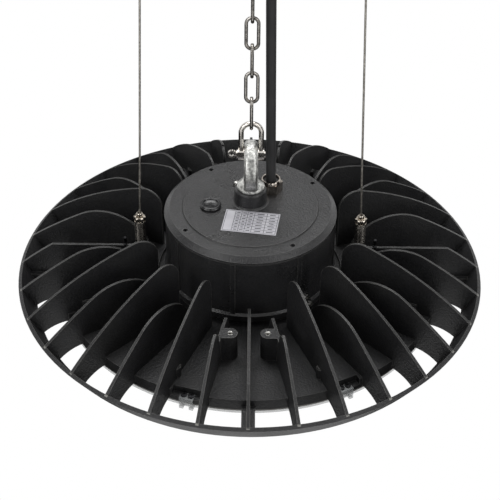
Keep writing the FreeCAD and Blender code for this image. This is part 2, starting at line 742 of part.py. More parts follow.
def eye_bolt():
    inner, outer, half = "eye_hole", "eye_outer", "(eye_width / 2)"
    curve = "eye_curve"
    loop = turned("EyeLoop", [
        (inner, "-%s + %s" % (half, curve)), (inner + " + " + curve, "-" + half, curve, 1),
        (outer + " - " + curve, "-" + half), (outer, "-%s + %s" % (half, curve), curve, 1),
        (outer, "%s - %s" % (half, curve)), (outer + " - " + curve, half, curve, 1),
        (inner + " + " + curve, half), (inner, "%s - %s" % (half, curve), curve, 1)],
        ("0", "eye_offset", EYE_SEAT + " + eye_gap + eye_outer"), ALONG_X)
    collar = turned("EyeCollar", [
        ("0", EYE_SEAT), ("collar_radius", EYE_SEAT), ("collar_radius", EYE_SEAT + " + collar_edge"),
        ("collar_top_radius", EYE_SEAT + " + collar_height", "collar_dome", 1),
        ("0", EYE_SEAT + " + collar_height")],
        ("0", "eye_offset", "0"))
    shank = rod("EyeShank", "eye_thread", "eye_thread_length + 1",
                ("0", "eye_offset", EYE_SEAT + " - eye_thread_length"))
    piece("eye_bolt", fuse("EyeBolt", loop, collar, shank))


PIN = EYE_SEAT + " + eye_gap + 2 * eye_outer - (eye_outer - eye_hole) - pin_diameter / 2 - play"


def shackle():
    spread = "(bow_inside / 2 + bow_wire / 2)"
    bend = "(%s) + bow_length - bow_inside / 2" % PIN
    legs = [rod("BowLeg", "bow_wire", "bow_length - bow_inside / 2",
                ("%d * %s" % (side, spread), "eye_offset", PIN)) for side in (-1, 1)]
    arch = ring("BowArch", spread, "bow_wire", ("0", "eye_offset", bend), Rotation(X, 90), 180)
    ears = [rod("BowEar", "ear_diameter", "ear_width", (
        "%d * %s - ear_width / 2" % (side, spread), "eye_offset", PIN), ALONG_X) for side in (-1, 1)]
    hole = rod("BowHole", "pin_diameter", "4 * bow_inside", ("-2 * bow_inside", "eye_offset", PIN), ALONG_X)
    piece("shackle_bow", cut("Bow", fuse("BowWhole", arch, *legs, *ears), hole))
    edge = "(bow_inside / 2 + bow_wire / 2 + ear_width / 2)"
    pin = rod("Pin", "pin_diameter", "2 * %s + 1.2" % edge, ("-" + edge, "eye_offset", PIN), ALONG_X)
    stop = rod("PinCollar", "pin_collar", "pin_collar_length",
               ("-%s - pin_collar_length" % edge, "eye_offset", PIN), ALONG_X)
    neck = rod("PinNeck", "pin_neck + 1", "pin_head",
               ("-%s - pin_head / 2" % edge, "eye_offset", PIN), ALONG_X)
    middle = "-%s - pin_collar_length - pin_head / 2" % edge
    head = rod("PinHead", "pin_head", "pin_head_width",
               (middle, "eye_offset - pin_head_width / 2", PIN), ALONG_Y)
    eye = rod("PinHeadHole", "pin_head_hole", "pin_head_width + 2",
              (middle + " - 0.6", "eye_offset - pin_head_width / 2 - 1", PIN), ALONG_Y)
    piece("shackle_pin", cut("PinDone", fuse("PinWhole", pin, stop, neck, head), eye))


CHAIN = PIN + " + bow_length - play - link_wire"


def chain():
    wide = "(link_width / 2 - link_wire / 2)"
    straight = "(link_pitch - play + 2 * link_wire - link_width)"
    for number in range(5):
        bottom = "%s + %d * (link_pitch - play)" % (CHAIN, number)
        low = "%s + link_width / 2" % bottom
        parts = [ring("LinkEnd", wide, "link_wire", ("0", "0", low), Rotation(X, -90), 180),
                 ring("LinkEnd", wide, "link_wire", ("0", "0", low + " + " + straight), Rotation(X, 90), 180)]
        for side in (-1, 1):
            parts.append(rod("LinkSide", "link_wire", straight, ("%d * %s" % (side, wide), "0", low)))
        link = fuse("Link%d" % (number + 1), *parts)
        if number % 2 == 0:
            link.Placement = Placement(Vector(), Rotation(Z, 90))
        piece("chain_link_%d" % (number + 1), link, ("0", "eye_offset", "0"))


def ceiling_hook():
    """A screw hook: a shank along Z, and a bend that carries the last link on its lowest point."""
    saddle = "(%s + 5 * (link_pitch - play) + link_wire - play)" % CHAIN
    centre = saddle + " + hook_inside / 2"
    lean = "(hook_inside / 2 + hook_wire / 2)"
    bend = ring("HookBend", lean, "hook_wire", ("0", "eye_offset", centre), Rotation(X, 90))
    opening = solid("Box", "HookOpening", ("-2 * %s" % lean, "eye_offset - hook_wire", centre),
                    Length="2 * " + lean, Width="2 * hook_wire", Height="2 * hook_wire")
    top = "drop"
    shank = rod("HookShank", "hook_wire", "%s - (%s) - %s" % (top, centre, lean),
                ("0", "eye_offset", "%s + %s" % (centre, lean)))
    thread = rod("HookThread", "hook_thread", "hook_thread_length", ("0", "eye_offset", top))
    flange = rod("HookFlange", "3 * hook_wire", "1.5", ("0", "eye_offset", top + " - 1.5"))
    piece("ceiling_hook", fuse("Hook", cut("HookBendOpen", bend, opening), shank, flange, thread))


# ---- wire ropes and cable ----

def leaned(item, x, y, height, lean):
    """Tip a piece about a point so that its own Z leans towards the middle."""
    item.Placement = Placement(Vector(), Rotation(Y, lean))
    move(item, (x, y, height))
    return item


def ropes():
    top = "(drop - anchor_height + anchor_hole_depth)"
    lean = value("atan(rope_lean / (drop - anchor_height - gripper_top))")
    for side, word in ((-1, "left"), (1, "right")):
        name = word.title()
        x = "%d * grip_radius" % side
        stud = rod(name + "Stud", "grip_thread", "grip_thread_depth - 1",
                   (x, "0", "low_height - grip_thread_depth + 1"))
        barrel = turned(name + "Barrel", [
            ("0", "low_height"), ("gripper_diameter / 2", "low_height"),
            ("gripper_diameter / 2", "gripper_top - 0.8"), ("gripper_diameter / 2 - 0.8", "gripper_top"),
            ("0", "gripper_top")], (x, "0", "0"))
        piece("gripper_body_" + word, fuse(name + "Gripper", barrel, stud))
        bottom = "gripper_top"
        sleeve = turned(name + "Sleeve", [
            ("nipple_diameter / 2", bottom), ("sleeve_diameter / 2 - 0.8", bottom),
            ("sleeve_diameter / 2", bottom + " + 0.8"),
            ("sleeve_diameter / 2", bottom + " + sleeve_height - 0.8"),
            ("sleeve_diameter / 2 - 0.8", bottom + " + sleeve_height"),
            ("nipple_diameter / 2", bottom + " + sleeve_height")])
        piece("gripper_sleeve_" + word, sleeve, (x, "0", "0"))
        nipple = turned(name + "Nipple", [
            ("gripper_bore / 2", bottom), ("nipple_diameter / 2", bottom),
            ("nipple_diameter / 2", bottom + " + sleeve_height + nipple_height - 0.6"),
            ("nipple_diameter / 2 - 0.6", bottom + " + sleeve_height + nipple_height"),
            ("gripper_bore / 2", bottom + " + sleeve_height + nipple_height")])
        piece("gripper_nipple_" + word, nipple, (x, "0", "0"))
        rope = rod(name + "Rope", "rope_diameter", "(%s - gripper_top - 0.8) / cos(%f)" % (top, lean))
        piece("wire_rope_" + word, leaned(rope, x, "0", "gripper_top + 0.3", -side * lean),
              (x, "0", "gripper_top + 0.3"))
        end = "%d * (grip_radius - rope_lean)" % side
        anchor = turned(name + "Anchor", [
            ("0", "drop - anchor_height"), ("anchor_diameter / 2 - 2", "drop - anchor_height"),
            ("anchor_diameter / 2", "drop - anchor_height + 5"), ("anchor_diameter / 2", "drop"),
            ("anchor_thread / 2", "drop"), ("anchor_thread / 2", "drop + anchor_thread_length"),
            ("0", "drop + anchor_thread_length")], (end, "0", "0"))
        piece("rope_anchor_" + word, cut(name + "AnchorDone", anchor, rod(
            name + "AnchorHole", "anchor_hole", "anchor_hole_depth + 1",
            (end, "0", "drop - anchor_height - 1"))))


def cable():
    low = "(%s)" % (DISC_TOP + " - 8")
    lean = value("atan(cable_lean / (drop - %s))" % low)
    rod_item = rod("Cable", "cable_diameter - 0.4", "(drop - rose_wall - %s) / cos(%f)" % (low, lean))
    piece("power_cable", leaned(rod_item, "0", "0", "0", -lean), ("cable_x + 0.2", "cable_y", low))
    top_x = "cable_x - cable_lean"
    hole = "rose_hole"
    rose = turned("Rose", [
        (hole, "drop - rose_height"), ("rose_radius * 0.8", "drop - rose_height"),
        ("rose_radius", "drop - 3"), ("rose_radius", "drop"), ("rose_radius - rose_wall", "drop"),
        ("rose_radius * 0.8 - rose_wall", "drop - rose_height + rose_wall"),
        (hole, "drop - rose_height + rose_wall")])
    piece("ceiling_rose", rose, (top_x, "rose_y", "0"))


# ---- light source ----

def light_source():
    board = rod("Board", "2 * board_radius", "board_thick", ("0", "0", "board_seat - board_thick"))
    holes = [rod("BoardHole", "board_screw", "board_thick + 2", place + ("board_seat - board_thick - 1",))
             for _, place in round_places("board_screw_count", "board_screw_circle", "11.25")]
    holes.append(rod("BoardWire", "wire_hole", "board_thick + 2",
                     ("30", "0", "board_seat - board_thick - 1")))
    piece("led_board", cut("LedBoard", board, *holes))
    chips = []
    for number in range(int(value("led_rings"))):
        radius = "(led_first_ring + %d * led_ring_step)" % number
        count = 4 * round(2 * math.pi * value(radius) / value("led_spacing") / 4)
        for angle, _ in round_places(str(count), radius, "360 / %d / 2" % count):
            chip = solid("Box", "Led", Length="led_side", Width="led_side", Height="led_height")
            chip.Placement = Placement(Vector(), Rotation(Z, angle))
            corner = "%s - led_side / 2" % radius
            move(chip, ("(%s) * cos(%f) + led_side / 2 * sin(%f)" % (corner, angle, angle),
                        "(%s) * sin(%f) - led_side / 2 * cos(%f)" % (corner, angle, angle),
                        "board_seat - board_thick - led_height"))
            chips.append(chip)
    piece("leds", group("Leds", *chips))
    screw_ring("board_screws", "BoardScrew", "board_screw_count", "board_screw_circle", "11.25",
               "board_seat - board_thick",
               ("board_screw", "board_screw_length", "board_screw_head", "board_screw_head_height"),
               Rotation(X, 180))
    low, high = "lens_bottom", "lens_bottom + lens_thick"
    inner = "lens_radius - lens_band"
    lens = turned("Lens", [
        ("0", low + " + lens_dish"), (inner + " - lens_dish", low + " + lens_dish"), (inner, low),
        ("lens_radius", low), ("lens_radius", high), (inner + " - 0.6", high),
        (inner + " - 0.6 - lens_dish", high + " + lens_dish"), ("0", high + " + lens_dish")])
    piece("lens", lens)
    piece("lens_gasket", tube("LensGasket", "2 * lens_radius", "2 * (lens_radius - lens_seal_width)",
                              "base_bottom - lens_bottom - lens_thick", ("0", "0", high)))


def lens_clips():
    for number, (angle, _) in enumerate(round_places("clip_count", "1", "clip_angle - 90"), start=1):
        inside = "clip_radius - clip_steel"
        wall = solid("Box", "ClipWall", (inside, "-clip_width / 2", "0"), Length="clip_steel",
                     Width="clip_width", Height="clip_top")
        tab = solid("Box", "ClipTab", (inside + " - clip_tab", "-clip_width / 2", "clip_top - clip_steel"),
                    Length="clip_tab + clip_steel", Width="clip_width", Height="clip_steel")
        feet = [solid("Box", "ClipFoot", (inside + " - clip_foot_reach", start, "0"),
                      Length="clip_foot_reach + clip_steel", Width="clip_foot", Height="clip_steel")
                for start in ("-clip_width / 2", "clip_width / 2 - clip_foot")]
        holes = [rod("ClipHole", "clip_screw + 0.4", "clip_steel + 2",
                     ("clip_screw_circle * cos(clip_screw_spread)",
                      "%d * clip_screw_circle * sin(clip_screw_spread)" % side, "clip_top - clip_steel - 1"))
                 for side in (-1, 1)]
        notch = solid("Box", "ClipNotch", (inside + " - 1", "clip_foot - clip_width / 2", "-1"),
                      Length="clip_steel + 2", Width="clip_width - 2 * clip_foot", Height="clip_notch + 1")
        clip = cut("Clip%d" % number, fuse("ClipWhole", wall, tab, *feet), notch, *holes)
        clip.Placement = Placement(Vector(), Rotation(Z, angle))
        piece("lens_clip_%d" % number, clip)
    screws = [screw("ClipScrew", "clip_screw", "clip_screw_length", "clip_screw_head",
                    "clip_screw_head_height", place + ("clip_top",)) for place in clip_screw_places()]
    piece("clip_screws", group("ClipScrewSet", *screws))


heatsink()
driver_housing()
driver()
earth_screws()
cover()
lock_screw()
cable_gland()
blanking_plug()
eye_bolt()
shackle()
chain()
ceiling_hook()
ropes()
cable()
light_source()
lens_clips()
doc.recompute()

bad = [item.Label for item in doc.Objects if {"Invalid", "Error"} & set(item.State)]
bad += [item.Label for item in pieces if item.Shape.isNull() or not item.Shape.isValid()]
if bad:
    raise SystemExit("not built: " + ", ".join(bad))
os.makedirs("parts", exist_ok=True)
for item in pieces:
    item.Shape.exportStep(os.path.join("parts", item.Label + ".step"))
    print(item.Label, round(item.Shape.Volume / 1000, 2), "cm3", len(item.Shape.Solids), "solids")
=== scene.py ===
import bpy
import bmesh
import json
import math
from mathutils import Matrix, Vector


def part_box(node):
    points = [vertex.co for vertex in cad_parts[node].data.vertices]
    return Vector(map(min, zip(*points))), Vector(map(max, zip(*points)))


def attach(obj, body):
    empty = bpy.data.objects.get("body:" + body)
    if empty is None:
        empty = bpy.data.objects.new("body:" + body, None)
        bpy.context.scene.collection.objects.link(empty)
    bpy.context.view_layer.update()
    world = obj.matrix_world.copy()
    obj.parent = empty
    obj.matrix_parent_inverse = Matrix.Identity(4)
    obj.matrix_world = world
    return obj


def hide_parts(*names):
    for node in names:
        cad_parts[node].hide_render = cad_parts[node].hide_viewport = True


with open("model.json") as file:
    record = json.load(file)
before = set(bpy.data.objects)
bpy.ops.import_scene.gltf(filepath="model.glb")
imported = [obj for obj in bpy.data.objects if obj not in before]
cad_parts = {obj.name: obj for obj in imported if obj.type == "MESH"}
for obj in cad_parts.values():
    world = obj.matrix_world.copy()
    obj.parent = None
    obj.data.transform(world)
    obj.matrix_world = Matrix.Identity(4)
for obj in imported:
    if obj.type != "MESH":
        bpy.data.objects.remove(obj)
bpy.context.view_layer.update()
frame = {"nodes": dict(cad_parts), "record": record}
nodes = frame["nodes"]
print("frame loaded,", len(nodes), "nodes")

scene = bpy.context.scene
lampPieces = bpy.data.collections.new("highBayLight")
scene.collection.children.link(lampPieces)
studio = bpy.data.collections.new("studio")
scene.collection.children.link(studio)


def linearColor(hexColor):
    values = [int(hexColor[i:i + 2], 16) / 255 for i in (1, 3, 5)]
    linear = [v / 12.92 if v <= 0.04045 else ((v + 0.055) / 1.055) ** 2.4 for v in values]
    return (*linear, 1.0)


def addNode(tree, kind, links=None, steps=None, **settings):
    # settings are the node's attributes, or its inputs where they start with in_
    # steps are the (position, colour) pairs of a ramp
    node = tree.nodes.new(kind)
    for key, value in settings.items():
        if key.startswith("in_"):
            node.inputs[key[3:].replace("_", " ")].default_value = value
        else:
            setattr(node, key, value)
    if steps:
        elements = node.color_ramp.elements
        elements[0].position, elements[1].position = steps[0][0], steps[-1][0]
        elements[0].color, elements[1].color = linearColor(steps[0][1]), linearColor(steps[-1][1])
        for position, hexColor in steps[1:-1]:
            elements.new(position).color = linearColor(hexColor)
    for socket, source in (links or {}).items():
        tree.links.new(source, node.inputs[socket])
    return node


def newMaterial(name):
    material = bpy.data.materials.new(name)
    material.use_nodes = True
    tree = material.node_tree
    tree.nodes.clear()
    shader = addNode(tree, "ShaderNodeBsdfPrincipled")
    addNode(tree, "ShaderNodeOutputMaterial", {"Surface": shader.outputs["BSDF"]})
    return material, tree, shader


def perMetre(millimetres):
    return 1000 / millimetres


noiseLow, noiseMiddle, noiseHigh = 0.3, 0.5, 0.7     # most of a Noise texture lies in this range
wavesPerUnit = 20 / (2 * math.pi)                    # bands of a Wave texture in a unit, scale 1
metalGrainDepth, mouldedGrainDepth = 0.0002, 0.0001  # in metres


# Black polyester powder coat on die-cast aluminium, sprayed and baked: a fine orange peel that
# breaks up highlights, a soft satin sheen, and a painted highlight: a lighter line on sharp edges.
powderCoatLook = {
    "deep": "#1d1d1e", "middle": "#222223", "pale": "#272727", "thinEdge": "#6f6e6c",
    "roughness": 0.48, "duller": 0.05, "glossier": 0.04, "specular": 0.32, "cloudMm": 46,
    "grainMm": 1.5, "grain": 0.8, "grainDepth": 0.0006, "speckMm": 1.7, "speck": 0.34,
    "edgeMm": 0.4, "edgeShare": 0.6, "edgeFrom": 0.995, "edgeTo": 0.86,
}


def powderCoat(name, look, **changes):
    look = look | changes
    material, tree, shader = newMaterial(name)
    place = addNode(tree, "ShaderNodeNewGeometry")
    cloud = addNode(tree, "ShaderNodeTexNoise", {"Vector": place.outputs["Position"]},
                    in_Scale=perMetre(look["cloudMm"]), in_Detail=4.0)
    tone = addNode(tree, "ShaderNodeValToRGB", {"Fac": cloud.outputs["Fac"]}, steps=[
        (noiseLow, look["deep"]), (noiseMiddle, look["middle"]), (noiseHigh, look["pale"])])
    # Sharp edges, found from the bevel normal, get a lighter colour mixed in: a painted highlight.
    rounded = addNode(tree, "ShaderNodeBevel", samples=8, in_Radius=look["edgeMm"] / 1000)
    match = addNode(tree, "ShaderNodeVectorMath",
                    {0: rounded.outputs["Normal"], 1: place.outputs["Normal"]},
                    operation="DOT_PRODUCT")
    edge = addNode(tree, "ShaderNodeMapRange", {"Value": match.outputs["Value"]},
                   in_From_Min=look["edgeFrom"], in_From_Max=look["edgeTo"],
                   in_To_Min=0.0, in_To_Max=look["edgeShare"])
    specks = addNode(tree, "ShaderNodeTexNoise", {"Vector": place.outputs["Position"]},
                     in_Scale=perMetre(look["speckMm"]), in_Detail=2.0, in_Roughness=0.7)
    speckLevel = addNode(tree, "ShaderNodeMapRange", {"Value": specks.outputs["Fac"]},
                         in_From_Min=noiseLow, in_From_Max=noiseHigh,
                         in_To_Min=1 - look["speck"], in_To_Max=1 + look["speck"])
    speckled = addNode(tree, "ShaderNodeVectorMath",
                       {0: tone.outputs["Color"], 1: speckLevel.outputs["Result"]},
                       operation="MULTIPLY")
    edgeHighlighted = addNode(tree, "ShaderNodeMix",
                   {0: edge.outputs["Result"], 6: speckled.outputs["Vector"]}, data_type="RGBA")
    edgeHighlighted.inputs[7].default_value = linearColor(look["thinEdge"])
    tree.links.new(edgeHighlighted.outputs[2], shader.inputs["Base Color"])
    grain = addNode(tree, "ShaderNodeTexNoise", {"Vector": place.outputs["Position"]},
                    in_Scale=perMetre(look["grainMm"]), in_Detail=3.0)
    bump = addNode(tree, "ShaderNodeBump", {"Height": grain.outputs["Fac"]},
                   in_Strength=look["grain"], in_Distance=look["grainDepth"])
    tree.links.new(bump.outputs["Normal"], shader.inputs["Normal"])
    gloss = addNode(tree, "ShaderNodeMapRange", {"Value": cloud.outputs["Fac"]},
                    in_From_Min=noiseLow, in_From_Max=noiseHigh,
                    in_To_Min=look["roughness"] - look["glossier"],
                    in_To_Max=look["roughness"] + look["duller"])
    tree.links.new(gloss.outputs["Result"], shader.inputs["Roughness"])
    shader.inputs["IOR"].default_value = 1.5
    shader.inputs["Specular IOR Level"].default_value = look["specular"]
    return material


# Metals share one build: a tone that drifts, a roughness that drifts with it, and a fine grain.
# A turned one has the rings that its tool left, which stretch each highlight along the axis.
def metal(name, look):
    material, tree, shader = newMaterial(name)
    place = addNode(tree, "ShaderNodeNewGeometry")
    stretch = addNode(tree, "ShaderNodeMapping", {"Vector": place.outputs["Position"]},
                      in_Scale=look.get("stretch", (1, 1, 1)))
    patch = addNode(tree, "ShaderNodeTexNoise", {"Vector": stretch.outputs["Vector"]},
                    in_Scale=perMetre(look["patchMm"]), in_Detail=5.0, in_Roughness=0.6)
    tone = addNode(tree, "ShaderNodeValToRGB", {"Fac": patch.outputs["Fac"]},
                   steps=[(0.34, look["deep"]), (0.66, look["pale"])])
    tree.links.new(tone.outputs["Color"], shader.inputs["Base Color"])
    gloss = addNode(tree, "ShaderNodeMapRange", {"Value": patch.outputs["Fac"]},
                    in_From_Min=noiseLow, in_From_Max=noiseHigh,
                    in_To_Min=look["roughness"][0], in_To_Max=look["roughness"][1])
    tree.links.new(gloss.outputs["Result"], shader.inputs["Roughness"])
    grain = addNode(tree, "ShaderNodeTexNoise", {"Vector": stretch.outputs["Vector"]},
                    in_Scale=perMetre(look["grainMm"]), in_Detail=2.0)
    bump = addNode(tree, "ShaderNodeBump", {"Height": grain.outputs["Fac"]},
                   in_Strength=look["grain"], in_Distance=metalGrainDepth)
    if "ringMm" in look:
        rings = addNode(tree, "ShaderNodeTexWave", {"Vector": place.outputs["Position"]},
                        bands_direction="Z", in_Scale=perMetre(look["ringMm"]) / wavesPerUnit)
        bump = addNode(tree, "ShaderNodeBump",
                       {"Height": rings.outputs["Fac"], "Normal": bump.outputs["Normal"]},
                       in_Strength=1.0, in_Distance=look["ringDepthMm"] / 1000)
    tree.links.new(bump.outputs["Normal"], shader.inputs["Normal"])
    shader.inputs["Metallic"].default_value = 1.0
    return material

metalLooks = {
    # hot-dip zinc on forged steel: dull grey with a cloudy spangle
    "galvanisedSteel": {"deep": "#858684", "pale": "#e2e2de", "patchMm": 2.4,
                        "roughness": (0.34, 0.5), "grainMm": 1.2, "grain": 0.4},
    # electropolished stainless wire: bright, warm in its darker reflections
    "polishedStainless": {"deep": "#bdb7b0", "pale": "#e2ded8", "patchMm": 9,
                          "roughness": (0.1, 0.2), "grainMm": 0.6, "grain": 0.1},
    # pressed stainless sheet of the clips: even, rolled one way
    "pressedStainless": {"deep": "#a59f98", "pale": "#cbc4bc", "patchMm": 3,
                         "roughness": (0.24, 0.36), "grainMm": 0.5, "grain": 0.15,
                         "stretch": (1, 1, 3)},
    # bright zinc on the wire of the chain and hook
    "zincChain": {"deep": "#6c6965", "pale": "#b9b5af", "patchMm": 5, "roughness": (0.1, 0.22),
                  "grainMm": 0.7, "grain": 0.15},
    # nickel over turned brass: the brass warms the reflections
    "nickelBrass": {"deep": "#6c655f", "pale": "#c6beb5", "patchMm": 6, "roughness": (0.1, 0.2),
                    "grainMm": 0.6, "grain": 0.12},
    # dark nickel on turned brass: the tool's rings draw out each highlight
    "blackNickel": {"deep": "#5c5955", "pale": "#86827c", "patchMm": 10, "roughness": (0.2, 0.3),
                    "grainMm": 0.6, "grain": 0.08, "ringMm": 0.5, "ringDepthMm": 0.12},
    # bright nickel on fluted and turned brass
    "brightNickel": {"deep": "#958d82", "pale": "#cdc6bb", "patchMm": 3, "roughness": (0.16, 0.3),
                     "grainMm": 0.5, "grain": 0.2},
    # bare steel of the threaded inserts, the lock screw and the earth screws
    "brightSteel": {"deep": "#8c8b88", "pale": "#c4c3bf", "patchMm": 2, "roughness": (0.2, 0.34),
                    "grainMm": 0.5, "grain": 0.2},
    # blackened steel of the cover and clip screws and of the posts
    "blackOxide": {"deep": "#1e1e1f", "pale": "#343436", "patchMm": 2, "roughness": (0.3, 0.45),
                   "grainMm": 0.4, "grain": 0.2},
    # drawn and twisted galvanised wires
    "ropeWire": {"deep": "#97938c", "pale": "#c9c4bb", "patchMm": 2, "roughness": (0.3, 0.45),
                 "grainMm": 0.3, "grain": 0.2},
    # plain extruded case of the driver
    "millAluminium": {"deep": "#a8a9aa", "pale": "#c6c7c8", "patchMm": 12, "roughness": (0.35, 0.5),
                      "grainMm": 0.6, "grain": 0.15, "stretch": (0.2, 1, 1)},
}
metals = {name: metal(name, look) for name, look in metalLooks.items()}


# Moulded and extruded plastics and rubbers: a slight drift of tone and a fine moulded texture.
def moulded(name, look):
    material, tree, shader = newMaterial(name)
    place = addNode(tree, "ShaderNodeNewGeometry")
    patch = addNode(tree, "ShaderNodeTexNoise", {"Vector": place.outputs["Position"]},
                    in_Scale=perMetre(look["patchMm"]), in_Detail=3.0)
    tone = addNode(tree, "ShaderNodeValToRGB", {"Fac": patch.outputs["Fac"]},
                   steps=[(0.35, look["deep"]), (0.65, look["pale"])])
    tree.links.new(tone.outputs["Color"], shader.inputs["Base Color"])
    grain = addNode(tree, "ShaderNodeTexNoise", {"Vector": place.outputs["Position"]},
                    in_Scale=perMetre(look["grainMm"]), in_Detail=2.0)
    bump = addNode(tree, "ShaderNodeBump", {"Height": grain.outputs["Fac"]},
                   in_Strength=look["grain"], in_Distance=mouldedGrainDepth)
    tree.links.new(bump.outputs["Normal"], shader.inputs["Normal"])
    shader.inputs["Roughness"].default_value = look["roughness"]
    shader.inputs["IOR"].default_value = look.get("ior", 1.5)
    return material

mouldedLooks = {
    # extruded rubber sheath: dull, faintly grey
    "sheathRubber": {"deep": "#212122", "pale": "#2a2a2b", "patchMm": 20, "roughness": 0.55,
                     "grainMm": 0.8, "grain": 0.2},
    # glass-filled nylon, satin from its mould
    "mouldedNylon": {"deep": "#1f1f20", "pale": "#2a2a2b", "patchMm": 8, "roughness": 0.24,
                     "grainMm": 0.6, "grain": 0.2},
    # grey silicone, moulded, slightly translucent in life and drawn opaque
    "greySilicone": {"deep": "#8c8b88", "pale": "#9c9b98", "patchMm": 10, "roughness": 0.6,
                     "grainMm": 0.7, "grain": 0.1, "ior": 1.41},
    # black silicone of the gland's sealing sleeve
    "blackSilicone": {"deep": "#1c1c1d", "pale": "#262627", "patchMm": 6, "roughness": 0.6,
                      "grainMm": 0.7, "grain": 0.1, "ior": 1.41},
    # white ABS, satin
    "whiteAbs": {"deep": "#dcdcd9", "pale": "#e8e8e6", "patchMm": 20, "roughness": 0.4,
                 "grainMm": 0.8, "grain": 0.08},
    # white solder mask on an aluminium board
    "solderMask": {"deep": "#e4e5e3", "pale": "#efefed", "patchMm": 15, "roughness": 0.45,
                   "grainMm": 0.6, "grain": 0.05},
    # yellow phosphor in clear silicone
    "phosphor": {"deep": "#e8cf52", "pale": "#f2dd74", "patchMm": 3, "roughness": 0.35,
                 "grainMm": 0.4, "grain": 0.1},
    # polyester film, satin, a pale cool grey
    "labelFilm": {"deep": "#a6a5ab", "pale": "#b3b2b7", "patchMm": 9, "roughness": 0.38,
                  "grainMm": 0.7, "grain": 0.06},
    # grey ink of the label's empty table
    "labelInk": {"deep": "#2f3036", "pale": "#3c3d44", "patchMm": 3, "roughness": 0.5,
                 "grainMm": 0.7, "grain": 0.05},
}
plastics = {name: moulded(name, look) for name, look in mouldedLooks.items()}

heatsinkCoat = powderCoat("blackPowderCoat", powderCoatLook)
# The blades take a darker copy of the heatsink's coat, painted shade on the fins, with a wider,
# paler painted edge highlight.
shadedBladeCoat = powderCoat("shadedPowderCoatBlades", powderCoatLook, deep="#1a1a1b", middle="#1f1f20",
                       pale="#242424", thinEdge="#85847f", roughness=0.42, specular=0.4,
                       edgeMm=0.45, edgeShare=0.7, edgeFrom=0.97, edgeTo=0.8)
coverCoat = powderCoat("blackPowderCoatCover", powderCoatLook, deep="#1a1a1b", middle="#1f1f20",
                       pale="#242425", roughness=0.3, specular=0.5, edgeMm=0.5, thinEdge="#8a8987")
canCoat = powderCoat("blackPowderCoatCan", powderCoatLook, deep="#1b1b1c", middle="#202021",
                     pale="#262626", roughness=0.3, specular=0.5)

# Clear polycarbonate, moulded: smooth outside, see-through, with a slow wave that bends highlights.
lensLook = {"deep": "#b9bcbd", "pale": "#c6c9c9", "waveMm": 30, "wave": 0.05, "waveDepth": 0.0005,
            "roughness": 0.12, "ior": 1.585, "alpha": 0.36}


def clearLens(look):
    material, tree, shader = newMaterial("clearPolycarbonate")
    place = addNode(tree, "ShaderNodeNewGeometry")
    wave = addNode(tree, "ShaderNodeTexNoise", {"Vector": place.outputs["Position"]},
                   in_Scale=perMetre(look["waveMm"]), in_Detail=2.0)
    tone = addNode(tree, "ShaderNodeValToRGB", {"Fac": wave.outputs["Fac"]},
                   steps=[(noiseLow, look["deep"]), (noiseHigh, look["pale"])])
    tree.links.new(tone.outputs["Color"], shader.inputs["Base Color"])
    bump = addNode(tree, "ShaderNodeBump", {"Height": wave.outputs["Fac"]},
                   in_Strength=look["wave"], in_Distance=look["waveDepth"])
    tree.links.new(bump.outputs["Normal"], shader.inputs["Normal"])
    shader.inputs["Roughness"].default_value = look["roughness"]
    shader.inputs["IOR"].default_value = look["ior"]
    shader.inputs["Alpha"].default_value = look["alpha"]
    return material


# Each node's finish. A node that isn't named takes that of the family its name starts with.
finishes = {
    "heatsink": heatsinkCoat, "heatsink_blades": shadedBladeCoat,
    "driver_housing": canCoat, "housing_cover": coverCoat,
    "housing_seal": plastics["greySilicone"], "cover_gasket": plastics["blackSilicone"],
    "lens_gasket": plastics["greySilicone"], "gland_seal": plastics["blackSilicone"],
    "plug_seal": plastics["blackSilicone"], "blanking_plug": plastics["mouldedNylon"],
    "rating_label": plastics["labelFilm"], "ceiling_rose": plastics["whiteAbs"],
    "led_board": plastics["solderMask"], "leds": plastics["phosphor"], "lens": clearLens(lensLook),
    "eye_bolt": metals["galvanisedSteel"], "eye_bolt_lock_screw": metals["brightSteel"],
    "earth_screws": metals["brightSteel"], "ceiling_hook": metals["zincChain"],
    "shackle_bow": metals["polishedStainless"], "shackle_pin": metals["polishedStainless"],
    "gland_body": metals["nickelBrass"], "gland_nut": metals["nickelBrass"],
    "driver_unit": metals["millAluminium"], "power_cable": plastics["sheathRubber"],
    "wire_rope": metals["ropeWire"], "gripper_body": metals["blackNickel"],
    "gripper_sleeve": metals["brightNickel"], "gripper_nipple": metals["brightNickel"],
    "rope_anchor": metals["brightNickel"], "chain_link": metals["zincChain"],
    "lens_clip": metals["pressedStainless"], "cover_screws": metals["blackOxide"],
    "clip_screws": metals["blackOxide"],
}
print("materials made")

for name, node in nodes.items():
    family = next((key for key in finishes if name.startswith(key + "_")), None)
    node.data.materials.clear()
    node.data.materials.append(
        finishes[name] if name in finishes else finishes.get(family, metals["pressedStainless"]))
print("finishes on the nodes")


def meshPiece(name, build, material, smooth=True, home=lampPieces):
    form = bmesh.new()
    build(form)
    bmesh.ops.recalc_face_normals(form, faces=form.faces)
    mesh = bpy.data.meshes.new(name)
    form.to_mesh(mesh)
    form.free()
    for face in mesh.polygons:
        face.use_smooth = smooth
    mesh.materials.append(material)
    piece = bpy.data.objects.new(name, mesh)
    home.objects.link(piece)
    return piece


def ridingPiece(name, build, material):
    piece = meshPiece(name, build, material)
    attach(piece, "root")
    return piece


def lathe(form, profile, around, centre):
    # rings of a (radius, height) profile, closed into a solid of revolution
    rings = []
    for radius, height in profile:
        angles = [2 * math.pi * i / around for i in range(around)]
        rings.append([form.verts.new((centre[0] + radius * math.cos(angle),
                                      centre[1] + radius * math.sin(angle),
                                      centre[2] + height)) for angle in angles])
    for ring, other in zip(rings, rings[1:] + rings[:1]):
        for i in range(around):
            j = (i + 1) % around
            form.faces.new((ring[i], ring[j], other[j], other[i]))


def middleOf(name):
    low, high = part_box(name)
    return [(a + b) / 2 for a, b in zip(low, high)], low, high


